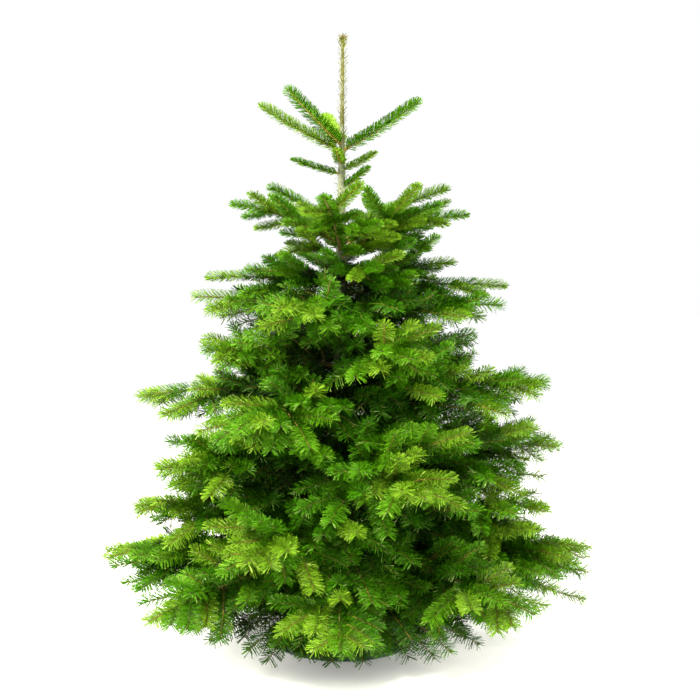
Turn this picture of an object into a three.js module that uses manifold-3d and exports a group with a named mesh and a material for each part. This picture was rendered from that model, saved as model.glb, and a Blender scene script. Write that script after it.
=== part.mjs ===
// A cut fir, 1.64 m tall, that stands in a plain round water stand.
// Units are millimetres. +Z is up, +X is to the right, and -Y is the front, the side the eye sees first.
// The origin is the centre of the stand's flat underside, on the floor.
//
// The trunk runs whole from its flat cut to the tip of the leader. Boughs grow from it in nine tiers: seven
// whorls, one for each year, and two smaller tiers between them. Each bough's foliage is one solid, a
// three-sided stem with side twigs that carry toothed sprays, each tooth standing for a tuft of needles.
// The stems meet the trunk, or on the lowest whorl the tip of a bare limb.

import * as THREE from "three";
import { mergeVertices } from "three/addons/utils/BufferGeometryUtils.js";
import Module from "manifold-3d";

const wasm = await Module();
wasm.setup();

// Driving dimensions

const CLEAR = 0.3; // the gap between two pieces that touch
const TREE_TOP = 1640;
const LEADER_FOOT = 1336;

const STAND = {
  rim: 190, // radius of the foot
  foot: 12, // height of the foot's edge
  cup: 66, // outer radius of the cup
  wall: 6,
  floor: 32, // height of the cup's floor
  top: 137, // height of the cup's rim
  screws: 3, // the clamp screws, which hold the trunk
  screwHeight: 114,
  screwRadius: 5,
  padRadius: 12,
  bossRadius: 11,
  bossReach: 12,
  handle: 60,
};

// The trunk's radius at heights above the floor, from the flared cut to the closed bud at the tip.
const TRUNK_GIRTH = [
  [STAND.floor + CLEAR, 33],
  [70, 30.5],
  [240, 28],
  [480, 23.5],
  [837, 17],
  [1066, 12.6],
  [LEADER_FOOT - 12, 8.6],
  [LEADER_FOOT + 14, 6],
  [1500, 4.6],
  [1612, 3.6],
  [1624, 5.2],
  [TREE_TOP, 1],
];
const TRUNK_SIDES = 12;
const LIMB_SIDES = 7;
const STAND_SIDES = 24;
const BOSS_SIDES = 10;
const SCREW_SIDES = 8;
const TRUNK_SWAY = 5; // how far the trunk strays from plumb

// The tiers of boughs, from the top down. Azimuths are in degrees from +X, turning left seen from above.
// Reach is how far the boughs' tips stand out from the trunk, and rise how far above their roots, each
// towards the right, the back, the left and the front. Arch lifts a bough's middle, and lean turns its side
// twigs up or down. Tiers 3 and 5 are small ones that grow between two years' whorls.
const TIERS = [
  {
    root: LEADER_FOOT, azimuths: [348, 105, 183, 229], reach: [205, 172, 212, 195], rise: [121, 95, 113, 120],
    arch: -6, lean: 0, pairs: 0, girth: 4.2, half: 26,
  },
  {
    root: 1066, azimuths: [354, 58, 122, 186, 262], reach: [335, 300, 290, 290], rise: [95, 140, 108, 120],
    arch: 22, lean: 0, pairs: 2, girth: 5.5, half: 38,
  },
  {
    root: 968, azimuths: [18, 104, 196, 292], reach: [290, 240, 255, 240], rise: [55, 60, 50, 30],
    arch: 14, lean: -0.05, pairs: 2, girth: 5, half: 40,
  },
  {
    root: 845, azimuths: [350, 62, 130, 190, 248], reach: [430, 400, 388, 380], rise: [80, 115, 85, 75],
    arch: 24, lean: 0, pairs: 3, girth: 6.5,
  },
  {
    root: 752, azimuths: [22, 112, 202, 298], reach: [390, 350, 375, 360], rise: [62, 60, 60, 20],
    arch: 20, lean: -0.05, pairs: 3, girth: 6,
  },
  {
    root: 648, azimuths: [355, 58, 122, 180, 244], reach: [548, 520, 545, 520], rise: [72, 55, 12, -5],
    arch: 28, lean: 0, pairs: 4, girth: 7.5,
  },
  {
    root: 484, azimuths: [4, 74, 142, 208, 290], reach: [597, 540, 500, 550], rise: [52, 30, 18, 5],
    arch: 26, lean: -0.05, pairs: 4, girth: 8,
  },
  {
    root: 345, azimuths: [352, 48, 118, 188, 248], reach: [552, 555, 548, 570], rise: [38, 10, 30, 0],
    arch: 22, lean: -0.14, pairs: 4, girth: 8.5,
  },
  {
    root: 240, azimuths: [2, 58, 116, 174, 224, 270, 316], reach: [668, 615, 660, 585],
    rise: [12, -15, -20, -85], arch: 22, lean: -0.25, pairs: 4, girth: 9, limb: true,
  },
];
const BARE_SHARE = 0.12; // the bare share of a bough near the trunk
const LIMB_SHARE = 0.24; // and where that share is a limb of its own

// Single twigs on the trunk between the two top tiers.
const SMALL_TWIGS = [
  { root: 1266, azimuth: 182, reach: 132, rise: 38 },
  { root: 1276, azimuth: 350, reach: 92, rise: 44 },
  { root: 1228, azimuth: 338, reach: 78, rise: 52 },
  { root: 1292, azimuth: 258, reach: 66, rise: 30 },
];

const STAGGER = 8; // boughs of a tier are rooted alternately this much above and below its height
const TWIG_ANGLE = 52; // degrees between a side twig and its bough
const TWIG_TILT = 0.34; // side twigs point alternately this much above and below their bough
const TWIG_SHARE = 0.74; // a side twig's length over what the bough grew beyond it
const TWIG_LEAST = 38; // what is added to that length
const NEIGHBOUR_ROOM = 38; // how far a side twig stays from the middle between two boughs
const TWIG_BARE = 0.12; // the bare share of a side twig
const TOOTH_STEP = 90; // the length of spray that one tooth takes
const SPRAY_HALF = 46; // how far a tooth stands out from its twig
const TOP_SHARE = 0.75; // how far the top teeth stand up, over how far the side ones stand out
const SIDE_DROOP = 0.22; // how far the side teeth hang, over how far they stand out
const TWIG_GIRTH = 2.3; // the radius of a side twig at its root

// Materials

const finish = (color, roughness, metalness = 0) =>
  new THREE.MeshStandardMaterial({ color, roughness, metalness });
const BARK = finish(0x7d6e57, 0.85);
const TWIG_BARK = finish(0x8a7a4e, 0.8);
const NEEDLES = finish(0x3f7a1e, 0.55);
const STAND_GREEN = finish(0x1f3d2b, 0.45);
const STEEL = finish(0xb4b6b8, 0.35, 1);

// Closed geometries as solids, and back

function solid(geometry) {
  const bare = geometry.clone();
  bare.deleteAttribute("normal");
  bare.deleteAttribute("uv");
  const merged = mergeVertices(bare, 1e-4);
  const mesh = new wasm.Mesh({
    numProp: 3,
    vertProperties: merged.attributes.position.array,
    triVerts: new Uint32Array(merged.index.array),
  });
  return new wasm.Manifold(mesh);
}

function geometryOf(made) {
  const mesh = made.getMesh();
  const geometry = new THREE.BufferGeometry();
  geometry.setAttribute("position", new THREE.BufferAttribute(mesh.vertProperties, 3));
  geometry.setIndex(new THREE.BufferAttribute(mesh.triVerts, 1));
  const split = geometry.toNonIndexed();
  split.computeVertexNormals();
  return split;
}

const group = new THREE.Group();

function addNode(name, made, material) {
  const mesh = new THREE.Mesh(geometryOf(made), material);
  mesh.name = name;
  group.add(mesh);
  return made;
}

// Growth, shared by every bough and twig

const UP = new THREE.Vector3(0, 0, 1);
const radians = THREE.MathUtils.degToRad;

// A number from 0 to 1 that is always the same for the same tier, bough, twig and use.
function chance(tier, bough, twig, use) {
  const turned = Math.sin(tier * 12.9898 + bough * 78.233 + twig * 37.719 + use * 4.581);
  const spread = Math.abs(turned) * 43758.5453;
  return spread - Math.floor(spread);
}

const vary = (amount, ...key) => amount * (2 * chance(...key) - 1);

// A value given for the right, back, left and front, at any azimuth between them.
function bySide([right, back, left, front], azimuth) {
  const c = Math.cos(radians(azimuth));
  const s = Math.sin(radians(azimuth));
  return c * c * (c > 0 ? right : left) + s * s * (s > 0 ? back : front);
}

function trunkCentre(height) {
  const share = height / TREE_TOP;
  return new THREE.Vector3(
    -TRUNK_SWAY * Math.sin(Math.PI * share),
    0.6 * TRUNK_SWAY * Math.sin(2 * Math.PI * share),
    height,
  );
}

function trunkRadius(height) {
  const next = TRUNK_GIRTH.findIndex(([z]) => z >= height);
  const [z0, r0] = TRUNK_GIRTH[next - 1];
  const [z1, r1] = TRUNK_GIRTH[next];
  return THREE.MathUtils.mapLinear(height, z0, z1, r0, r1);
}

// The tangent, side and upper normal of a curve, turned about the tangent by roll.
function frameAt(curve, t, roll = 0) {
  const along = curve.getTangent(t);
  const side = along.clone().cross(UP).normalize().applyAxisAngle(along, roll);
  return { at: curve.getPoint(t), along, side, normal: side.clone().cross(along) };
}

// A bough's axis bends once: it starts on the trunk's own axis and ends at its tip.
function boughAxis({ root, azimuth, reach, rise, arch, bow }) {
  const out = new THREE.Vector3(Math.cos(radians(azimuth)), Math.sin(radians(azimuth)), 0);
  const start = trunkCentre(root);
  const tip = start.clone().addScaledVector(out, reach).addScaledVector(UP, rise);
  const knee = start.clone().lerp(tip, 0.5);
  knee.addScaledVector(UP, 2 * arch).addScaledVector(out.clone().cross(UP), 2 * bow);
  return new THREE.QuadraticBezierCurve3(start, knee, tip);
}

const bareShare = (tier) => (tier.limb ? LIMB_SHARE : BARE_SHARE);

function growTier(tier, number) {
  const { azimuths } = tier;
  return azimuths.map((azimuth, index) => {
    const count = azimuths.length;
    const gapAhead = (azimuths[(index + 1) % count] - azimuth + 720) % 360;
    const gapBehind = (azimuth - azimuths[(index + count - 1) % count] + 720) % 360;
    const reach = bySide(tier.reach, azimuth);
    const shape = {
      root: tier.root + (index % 2 ? STAGGER : -STAGGER),
      azimuth,
      reach,
      rise: bySide(tier.rise, azimuth),
      arch: tier.arch,
      bow: vary(0.02 * reach, number, index, 0, 1),
    };
    return { tier, number, index, reach, gapAhead, gapBehind, axis: boughAxis(shape) };
  });
}

// The longest side twig that stays clear of the middle between its bough and the next.
function roomBeside(gap, distance, angle) {
  const slope = Math.tan(radians(Math.min(gap / 2, 44)));
  const closing = Math.sin(angle) - slope * Math.cos(angle);
  return (distance * slope - NEIGHBOUR_ROOM) / Math.max(closing, 0.05);
}

// A side twig leaves its parent forwards, and turns a little more forwards on its way.
function twigAxis(parent, at, side, angle, length, tilt, curl) {
  const { at: root, along, side: across, normal } = frameAt(parent, at);
  const way = along.clone().multiplyScalar(Math.cos(angle));
  way.addScaledVector(across, side * Math.sin(angle)).addScaledVector(normal, tilt).normalize();
  const end = way.clone().addScaledVector(along, 0.15).normalize();
  const tip = root.clone().addScaledVector(end, length).addScaledVector(UP, curl * length);
  const knee = root.clone().addScaledVector(way, 0.5 * length);
  return new THREE.QuadraticBezierCurve3(root, knee, tip);
}

// A bough's side twigs: pairs at even steps along its leafy part, the outer ones shorter.
function sideTwigs(bough) {
  const { tier, number, index, reach, axis } = bough;
  const made = [];
  for (let pair = 0; pair < tier.pairs; pair++) {
    for (const side of [-1, 1]) {
      const key = 2 * pair + (side > 0 ? 1 : 0) + 1;
      const step = (pair + 0.42 + (side > 0 ? 0.12 : 0)) / (tier.pairs + 0.55);
      const bare = bareShare(tier);
      const at = bare + (1 - bare) * step;
      const angle = radians(TWIG_ANGLE + vary(5, number, index, key, 2));
      const gap = side < 0 ? bough.gapAhead : bough.gapBehind;
      const grown = TWIG_SHARE * (1 - at) * reach + TWIG_LEAST;
      const full = Math.min(grown, roomBeside(gap, at * reach, angle));
      const raised = (pair + (side > 0 ? 1 : 0)) % 2 ? TWIG_TILT : -TWIG_TILT;
      const tilt = tier.lean + raised + vary(0.12, number, index, key, 3);
      const curl = 0.04 - 0.012 * number + vary(0.03, number, index, key, 4);
      const twigOf = (length) => twigAxis(axis, at, side, angle, length, tilt, curl);
      made.push({ full, twigOf, roll: vary(0.25, number, index, key, 6) });
    }
  }
  return made;
}

// Limbs and sprays

// A round limb along a curve, from a cylinder whose rings are carried to the curve.
function limb(curve, from, to, radiusAt, sides, steps) {
  const geometry = new THREE.CylinderGeometry(1, 1, 1, sides, steps);
  const place = geometry.attributes.position;
  for (let i = 0; i < place.count; i++) {
    const t = from + (to - from) * (place.getY(i) + 0.5);
    const { at, side, normal } = frameAt(curve, t);
    const radius = radiusAt(t);
    at.addScaledVector(side, radius * place.getX(i));
    at.addScaledVector(normal, radius * place.getZ(i));
    place.setXYZ(i, at.x, at.y, at.z);
  }
  return solid(geometry);
}

// A toothed spray: a three-sided core with its keel below, that thins to a point. Between two rings, each of
// its three faces is drawn out to a tooth that leans forwards: one to each side and one on top.
function spray(curve, { from = 0, bare = 0, teeth, half, girth, roll = 0, sidesFrom = 0 }) {
  const points = [];
  const faces = [];
  const place = (t, side, rise) => {
    const frame = frameAt(curve, Math.min(t, 1), roll);
    frame.at.addScaledVector(frame.side, side).addScaledVector(frame.normal, rise);
    return points.push(frame.at) - 1;
  };
  const ringAt = (t) => {
    const radius = girth * (1 - 0.7 * t);
    const upper = [0.9 * radius, 0.6 * radius];
    return [place(t, 0, -radius), place(t, upper[0], upper[1]), place(t, -upper[0], upper[1])];
  };
  const leafy = from + bare;
  const step = (1 - leafy) / (teeth + 0.12);
  const stations = bare > 0 ? [from] : [];
  for (let i = 0; i <= teeth; i++) stations.push(leafy + i * step);
  const rings = stations.map(ringAt);
  faces.push(rings[0]);
  for (let i = 0; i + 1 < rings.length; i++) {
    const scraggy = 0.85 + 0.3 * chance(teeth, i, half, girth);
    const out = half * scraggy * Math.min(1, 0.75 + 0.25 * i);
    const reach = stations[i] + step;
    const tips = [[out, -SIDE_DROOP], [0, TOP_SHARE], [-out, -SIDE_DROOP]];
    for (let face = 0; face < 3; face++) {
      const [a, b] = [rings[i][face], rings[i][(face + 1) % 3]];
      const [d, c] = [rings[i + 1][face], rings[i + 1][(face + 1) % 3]];
      const isBare = bare > 0 && i === 0;
      if (isBare || (face !== 1 && i < sidesFrom)) {
        faces.push([a, d, c], [a, c, b]);
        continue;
      }
      const [side, rise] = tips[face];
      const tooth = place(reach - 0.1 * step * face, side, rise * out);
      faces.push([b, a, tooth], [c, b, tooth], [d, c, tooth], [a, d, tooth]);
    }
  }
  const tip = points.push(curve.getPoint(1)) - 1;
  const [keel, right, left] = rings[rings.length - 1];
  faces.push([right, keel, tip], [left, right, tip], [keel, left, tip]);
  const geometry = new THREE.BufferGeometry().setFromPoints(points);
  geometry.setIndex(faces.flat());
  return solid(geometry);
}

const teethFor = (length) => Math.max(2, Math.round(length / TOOTH_STEP));

// Trunk

// The trunk with its girth grown by some clearance, which its neighbours are cut back from.
function trunkSolid(grown = 0) {
  const profile = TRUNK_GIRTH.map(([z, r]) => new THREE.Vector2(r + grown, z));
  profile.unshift(new THREE.Vector2(0, profile[0].y));
  profile.push(new THREE.Vector2(0, TREE_TOP));
  const geometry = new THREE.LatheGeometry(profile, TRUNK_SIDES).rotateX(Math.PI / 2);
  const place = geometry.attributes.position;
  for (let i = 0; i < place.count; i++) {
    const centre = trunkCentre(place.getZ(i));
    place.setXY(i, place.getX(i) + centre.x, place.getY(i) + centre.y);
  }
  return solid(geometry);
}

addNode("trunk", trunkSolid(), BARK);
const trunkSpace = trunkSolid(CLEAR);

// Stand

function turned(profile, segments) {
  const points = profile.map(([r, z]) => new THREE.Vector2(r, z));
  return solid(new THREE.LatheGeometry(points, segments).rotateX(Math.PI / 2));
}

// A cylinder that lies along +X, from one distance to another, at a height above the floor.
function crossRod(radius, from, to, height, sides = SCREW_SIDES) {
  const geometry = new THREE.CylinderGeometry(radius, radius, to - from, sides);
  geometry.rotateZ(-Math.PI / 2).translate((from + to) / 2, 0, height);
  return solid(geometry);
}

const turnAbout = (made, angle) => made.rotate([0, 0, THREE.MathUtils.radToDeg(angle)]);
const screwAngles = Array.from(
  { length: STAND.screws },
  (_, i) => Math.PI / 2 + (2 * Math.PI * i) / STAND.screws,
);

function standBase() {
  const { rim, foot, cup, wall, floor, top } = STAND;
  const outside = [
    [0, 0], [rim - 5, 0], [rim, 4], [rim, foot], [rim - 8, foot + 5], [rim - 62, foot + 12],
    [cup + 20, foot + 24], [cup + 6, foot + 40], [cup, foot + 60],
    [cup, top - 8], [cup + 4, top - 4], [cup + 3, top],
  ];
  const inside = [[cup - wall, top], [cup - wall, floor], [0, floor]];
  let made = turned([...outside, ...inside], STAND_SIDES);
  for (const angle of screwAngles) {
    const bossEnd = cup + STAND.bossReach;
    const boss = crossRod(STAND.bossRadius, cup - 2, bossEnd, STAND.screwHeight, BOSS_SIDES);
    const hole = crossRod(STAND.screwRadius + CLEAR, cup - 20, bossEnd + 20, STAND.screwHeight);
    made = made.add(turnAbout(boss, angle)).subtract(turnAbout(hole, angle));
  }
  return made;
}

// A screw whose pad presses on the trunk and whose crossbar stands outside the cup.
function clampScrew(angle) {
  const { cup, bossReach, screwHeight, screwRadius, padRadius, handle } = STAND;
  const padFoot = screwHeight - padRadius;
  const centre = trunkCentre(padFoot);
  const offset = centre.x * Math.cos(angle) + centre.y * Math.sin(angle);
  const start = trunkRadius(padFoot) + offset + CLEAR;
  const end = cup + bossReach + 30;
  const pad = crossRod(padRadius, start, start + 5, screwHeight);
  const shank = crossRod(screwRadius, start + 1, end, screwHeight);
  const hub = crossRod(1.9 * screwRadius, end - 12, end + 2, screwHeight);
  const bar = new THREE.CylinderGeometry(4, 4, handle, 6).translate(end - 5, 0, screwHeight);
  return turnAbout(pad.add(shank).add(hub).add(solid(bar)), angle);
}

const stand = addNode("stand_base", standBase(), STAND_GREEN);
const screws = screwAngles.map((angle, i) =>
  addNode(`clamp_screw_${i + 1}`, clampScrew(angle), STEEL),
);

// Boughs and their foliage

// What stands already, with its box, so that a new twig is tested only against what is near it.
const standing = [];

function remember(made, owner) {
  standing.push({ made, owner, box: made.boundingBox() });
}

const boxesMeet = (a, b, room) =>
  [0, 1, 2].every((k) => a.min[k] - room < b.max[k] && b.min[k] - room < a.max[k]);

function isClear(made, owner, room) {
  const box = made.boundingBox();
  return standing.every(
    (other) =>
      other.owner === owner || !boxesMeet(box, other.box, room) ||
      other.made.minGap(made, room) >= room,
  );
}

remember(stand, "stand");
screws.forEach((made) => remember(made, "stand"));

const TWIG_CLEAR = 1.2; // a twig is never closer than this to another mass or a limb
const SHARES_TRIED = [1, 0.75, 0.55]; // it is grown shorter where that helps, and is else left out
const TWIG_SHORTEST = 92;
const boughs = TIERS.map((tier, i) => growTier(tier, i + 1));

// Limbs first, so that the foliage is fitted round them.
for (const bough of boughs.flat()) {
  const { tier, number, index, axis } = bough;
  if (!tier.limb) continue;
  const radiusAt = (t) => tier.girth * (1 - 0.62 * t);
  const made = limb(axis, 0, LIMB_SHARE, radiusAt, LIMB_SIDES, 2).subtract(trunkSpace);
  remember(addNode(`tier${number}_bough_${index + 1}`, made, TWIG_BARK), "limbs");
}

// The stem of a bough's foliage, which meets the tip of the bough's limb, or else the trunk.
function growStem(bough) {
  const { tier, number, index, axis, reach } = bough;
  const { half = SPRAY_HALF } = tier;
  const owner = `tier${number}_foliage_${index + 1}`;
  const from = tier.limb ? LIMB_SHARE + CLEAR / reach : 0;
  const bare = tier.limb ? 0.06 : BARE_SHARE + 0.04;
  const teeth = teethFor(reach * (1 - from - bare));
  const sidesFrom = tier.pairs > 0 ? teeth - 2 : 0;
  let made = spray(axis, { from, bare, teeth, half, girth: tier.girth, sidesFrom });
  if (!tier.limb) made = made.subtract(trunkSpace);
  remember(made, owner);
  return { bough, owner, half, made };
}

function growTwigs({ bough, owner, half, made }) {
  for (const { full, twigOf, roll } of sideTwigs(bough)) {
    for (const share of SHARES_TRIED) {
      const length = share * full;
      if (length < TWIG_SHORTEST) continue;
      const teeth = teethFor(length * (1 - TWIG_BARE));
      const one = spray(twigOf(length), { bare: TWIG_BARE, teeth, half, girth: TWIG_GIRTH, roll });
      if (!isClear(one, owner, TWIG_CLEAR)) continue;
      remember(one, owner);
      made = made.add(one);
      break;
    }
  }
  addNode(owner, made, NEEDLES);
}

// All the stems stand before the first side twig, so that the twigs are fitted round them.
const stems = boughs.flat().map(growStem);
stems.forEach(growTwigs);

SMALL_TWIGS.forEach((twig, i) => {
  const axis = boughAxis({ ...twig, arch: -3, bow: 0 });
  const made = spray(axis, { bare: 0.14, teeth: 3, half: 17, girth: 3 }).subtract(trunkSpace);
  remember(made, `small_twig_${i + 1}`);
  addNode(`small_twig_${i + 1}`, made, NEEDLES);
});

export default group;
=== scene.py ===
"""A cut fir in a plain stand: its bark, its shoots with their needles and buds, and the stand.

The trunk and the boughs lie where the solids have them. Each bough's side twigs grow by the same rule as in
the solids, carried on to finer twigs. Every twig then gets its wood, its needles and its buds.
"""

from math import cos, pi, radians, sin, tan

import bmesh
import bpy
import numpy as np
from mathutils import Matrix, Vector


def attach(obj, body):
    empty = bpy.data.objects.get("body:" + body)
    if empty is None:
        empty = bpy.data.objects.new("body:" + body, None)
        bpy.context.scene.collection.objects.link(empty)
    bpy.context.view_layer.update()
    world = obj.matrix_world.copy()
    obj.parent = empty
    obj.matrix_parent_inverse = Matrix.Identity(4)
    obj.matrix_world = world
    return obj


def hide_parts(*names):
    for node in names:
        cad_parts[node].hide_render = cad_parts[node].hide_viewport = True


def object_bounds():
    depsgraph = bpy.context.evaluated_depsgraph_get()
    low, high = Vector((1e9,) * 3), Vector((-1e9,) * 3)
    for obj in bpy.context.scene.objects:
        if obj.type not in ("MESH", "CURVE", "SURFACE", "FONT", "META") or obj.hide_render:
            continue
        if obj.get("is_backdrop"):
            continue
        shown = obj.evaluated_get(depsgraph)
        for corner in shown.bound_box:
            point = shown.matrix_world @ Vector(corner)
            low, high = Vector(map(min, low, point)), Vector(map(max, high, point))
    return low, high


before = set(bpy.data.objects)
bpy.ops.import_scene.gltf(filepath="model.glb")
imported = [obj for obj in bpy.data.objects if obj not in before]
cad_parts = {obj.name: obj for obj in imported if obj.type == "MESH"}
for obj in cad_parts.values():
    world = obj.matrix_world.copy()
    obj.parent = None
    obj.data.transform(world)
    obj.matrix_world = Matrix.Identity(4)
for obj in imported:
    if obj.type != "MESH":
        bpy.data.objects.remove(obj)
solid_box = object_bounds()

MM = 0.001
BODY = "root"
RANDOM = np.random.RandomState(24)


def in_scene(name, data):
    """A new object in the scene, at the origin."""
    made = bpy.data.objects.new(name, data)
    bpy.context.collection.objects.link(made)
    return made


# Camera, at the photograph's height and distance

CAMERA_BACK = 3.0
CAMERA_HEIGHT = 0.95
CAMERA_DOWN = radians(2.97)
CAMERA_ASIDE = 0.019  # the trunk stands this much left of the picture's middle
PICTURE_WIDTH = 0.63  # of its distance

camera_data = bpy.data.cameras.new("camera")
camera_data.lens = camera_data.sensor_width / PICTURE_WIDTH
camera = in_scene("camera", camera_data)
camera.location = (CAMERA_ASIDE, -CAMERA_BACK, CAMERA_HEIGHT)
camera.rotation_euler = (pi / 2 - CAMERA_DOWN, 0, 0)
bpy.context.scene.camera = camera


# The tree's own sizes, in millimetres, as its solids have them

TREE_TOP = 1640
LEADER_FOOT = 1336
CUT_HEIGHT = 32.3
TRUNK_SWAY = 5
TRUNK_GIRTH = [  # heights and radii, up to the leader and the bud on its tip
    (CUT_HEIGHT, 33), (70, 30.5), (240, 28), (480, 23.5), (837, 17), (1066, 12.6), (LEADER_FOOT - 12, 8.6),
    (LEADER_FOOT + 14, 6), (1500, 4.6), (1612, 3.6), (1624, 5.2), (TREE_TOP, 1),
]

# The tiers of boughs from the top down, with reach and rise towards the right, the back, the left and the
# front. Tiers 3 and 5 are the small ones between two years' whorls. Each bough bows up by its arch, and its
# pairs of side twigs tip by the tier's lean. Between two pairs stand so many upright ones.
TIERS = [
    dict(root=LEADER_FOOT, azimuths=[348, 105, 183, 229], reach=[205, 172, 212, 195],
         rise=[121, 95, 113, 120], arch=-6, lean=0, pairs=0, girth=4.2),
    dict(root=1066, azimuths=[354, 58, 122, 186, 262], reach=[335, 300, 290, 290],
         rise=[95, 140, 108, 120], arch=22, lean=0, pairs=2, upright=1, girth=5.5),
    dict(root=968, azimuths=[18, 104, 196, 292], reach=[290, 240, 255, 240],
         rise=[55, 60, 50, 30], arch=14, lean=-0.05, pairs=2, upright=1, girth=5),
    dict(root=845, azimuths=[350, 62, 130, 190, 248], reach=[430, 400, 388, 380],
         rise=[80, 115, 85, 75], arch=24, lean=0, pairs=3, upright=3, girth=6.5),
    dict(root=752, azimuths=[22, 112, 202, 298], reach=[390, 350, 375, 360],
         rise=[62, 60, 60, 20], arch=20, lean=-0.05, pairs=3, upright=3, girth=6),
    dict(root=648, azimuths=[355, 58, 122, 180, 244], reach=[548, 520, 545, 520],
         rise=[72, 55, 12, -5], arch=28, lean=0, pairs=4, upright=4, girth=7.5),
    dict(root=484, azimuths=[4, 74, 142, 208, 290], reach=[597, 540, 500, 550],
         rise=[52, 30, 18, 5], arch=26, lean=-0.05, pairs=4, upright=4, girth=8),
    dict(root=345, azimuths=[352, 48, 118, 188, 248], reach=[552, 555, 548, 570],
         rise=[38, 10, 30, 0], arch=22, lean=-0.14, pairs=4, upright=4, girth=8.5),
    dict(root=240, azimuths=[2, 58, 116, 174, 224, 270, 316], reach=[668, 615, 660, 585],
         rise=[12, -15, -20, -85], arch=22, lean=-0.25, pairs=4, upright=4, girth=9, limb=True),
]
BARE_SHARE = 0.12  # of a bough, bare at the trunk
LIMB_SHARE = 0.24  # the same on the lowest tier's long limbs
STAGGER = 8  # a tier's boughs leave the trunk this much higher and lower in turn
TWIG_ANGLE = 52  # between a bough and its side twigs, in degrees
TWIG_TILT = 0.34  # how far side twigs tip up and down in turn
TWIG_SHARE = 0.74  # a side twig's length over what its bough grew beyond it
TWIG_LEAST = 38  # added to that
NEIGHBOUR_ROOM = 38  # kept clear between a side twig and the middle between two boughs
WIDEST_HALF_GAP = 44
SMALL_TWIGS = [  # on the trunk, between the two top whorls
    dict(root=1266, azimuth=182, reach=132, rise=38),
    dict(root=1276, azimuth=350, reach=92, rise=44),
    dict(root=1228, azimuth=338, reach=78, rise=52),
    dict(root=1292, azimuth=258, reach=66, rise=30),
]

UP = np.array([0.0, 0.0, 1.0])


def chance(tier, bough, twig, use):
    """A number from 0 to 1 that is always the same for the same tier, bough, twig and use."""
    spread = abs(sin(tier * 12.9898 + bough * 78.233 + twig * 37.719 + use * 4.581)) * 43758.5453
    return spread - int(spread)


def vary(amount, *key):
    """Up or down by this amount at most, and always the same for the same key."""
    return amount * (2 * chance(*key) - 1)


def by_side(values, azimuth):
    """A value given for the right, back, left and front, at any azimuth between them."""
    right, back, left, front = values
    c = cos(radians(azimuth))
    s = sin(radians(azimuth))
    return c * c * (right if c > 0 else left) + s * s * (back if s > 0 else front)


def trunk_centre(height):
    share = height / TREE_TOP
    return np.array([-TRUNK_SWAY * sin(pi * share), 0.6 * TRUNK_SWAY * sin(2 * pi * share), height])


def unit(vector):
    return vector / np.linalg.norm(vector)


class Axis:
    """The line that a bough or twig grows along: a parabola with a root, a knee and a tip."""

    def __init__(self, root, knee, tip):
        self.root, self.knee, self.tip = root, knee, tip

    def at(self, t):
        t = np.asarray(t, float)[..., None]
        return self.root * (1 - t) ** 2 + self.knee * 2 * t * (1 - t) + self.tip * t * t

    def along(self, t):
        t = np.asarray(t, float)[..., None]
        way = (self.knee - self.root) * (1 - t) + (self.tip - self.knee) * t
        return way / np.linalg.norm(way, axis=-1, keepdims=True)

    def frame(self, t):
        along = self.along(t)
        side = np.cross(along, UP)
        side /= np.linalg.norm(side, axis=-1, keepdims=True)
        return self.at(t), along, side, np.cross(side, along)


def bough_axis(root, azimuth, reach, rise, arch, bow):
    out = np.array([cos(radians(azimuth)), sin(radians(azimuth)), 0])
    start = trunk_centre(root)
    tip = start + out * reach + UP * rise
    knee = (start + tip) / 2 + UP * 2 * arch + np.cross(out, UP) * 2 * bow
    return Axis(start, knee, tip)


def twig_axis(parent, at, side, angle, length, tilt, curl):
    """A side twig leaves its parent forwards, and turns a little more forwards on its way."""
    root, along, across, normal = parent.frame(at)
    way = unit(along * cos(angle) + across * side * sin(angle) + normal * tilt)
    tip = root + unit(way + along * 0.15) * length + UP * curl * length
    return Axis(root, root + way * 0.5 * length, tip)


def room_beside(gap, distance, angle):
    """The longest side twig that stays clear of the middle between its bough and the next."""
    slope = tan(radians(min(gap / 2, WIDEST_HALF_GAP)))
    closing = sin(angle) - slope * cos(angle)
    return (distance * slope - NEIGHBOUR_ROOM) / max(closing, 0.05)


# Crown

HOLLOW = 0.88  # the crown's reach between two tiers, over that of the shorter one


def crown_reach(place):
    """How far the crown reaches at a place's height and azimuth: to its tiers' tips, less between them."""
    azimuth = np.degrees(np.arctan2(place[1], place[0]))
    tips = sorted(
        (tier["root"] + by_side(tier["rise"], azimuth), by_side(tier["reach"], azimuth)) for tier in TIERS
    )
    between = [((a[0] + b[0]) / 2, HOLLOW * min(a[1], b[1])) for a, b in zip(tips, tips[1:])]
    heights, reaches = zip(*sorted(tips + between))
    return np.interp(place[2], heights, reaches)


def openness(place):
    """From 0 at the trunk to 1 at the tips of the boughs."""
    return np.hypot(place[0], place[1]) / crown_reach(place)


# Growth: every twig of the tree

SHORTEST_SIDE_TWIG = 60
SIDE_GIRTH = 1.5
GIRTH_BY_LENGTH = 0.006  # added to that, over the side twig's length
LEAFY_FROM = 0.2
BRUSH_LEAFY_FROM = 0.06
BOUGH_END = 0.97  # side twigs stop this far along their bough
LEVEL_SHARE = 0.34  # the length of a level twig between two pairs, over what its bough grew beyond it
LEVEL_LEAST = 52
UPRIGHT_SHARE = 0.2  # the same for those that stand up and hang there
UPRIGHT_LEAST = 70
UPRIGHT_ANGLE = 42
UPRIGHT_TILTS = (0.7, -0.7, 0.45, -0.45)
FINEST_ORDER = {1: 0, 2: 2, 3: 2, 4: 2, 5: 2}  # how finely the upper tiers branch; the others reach order 3
FINEST_OPEN = 0.55  # twigs of order 3 grow only this far out in the crown, and only on long ones
FINEST_PARENT = 120
NODE_STEP = {1: 80, 2: 78}  # between two pairs of finer twigs, on a twig of this order
TWIG_FOOT = 18  # bare before the first pair
FINER_SHARE = {1: 0.62, 2: 0.6}  # a finer twig's length over what its parent grew beyond it
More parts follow.
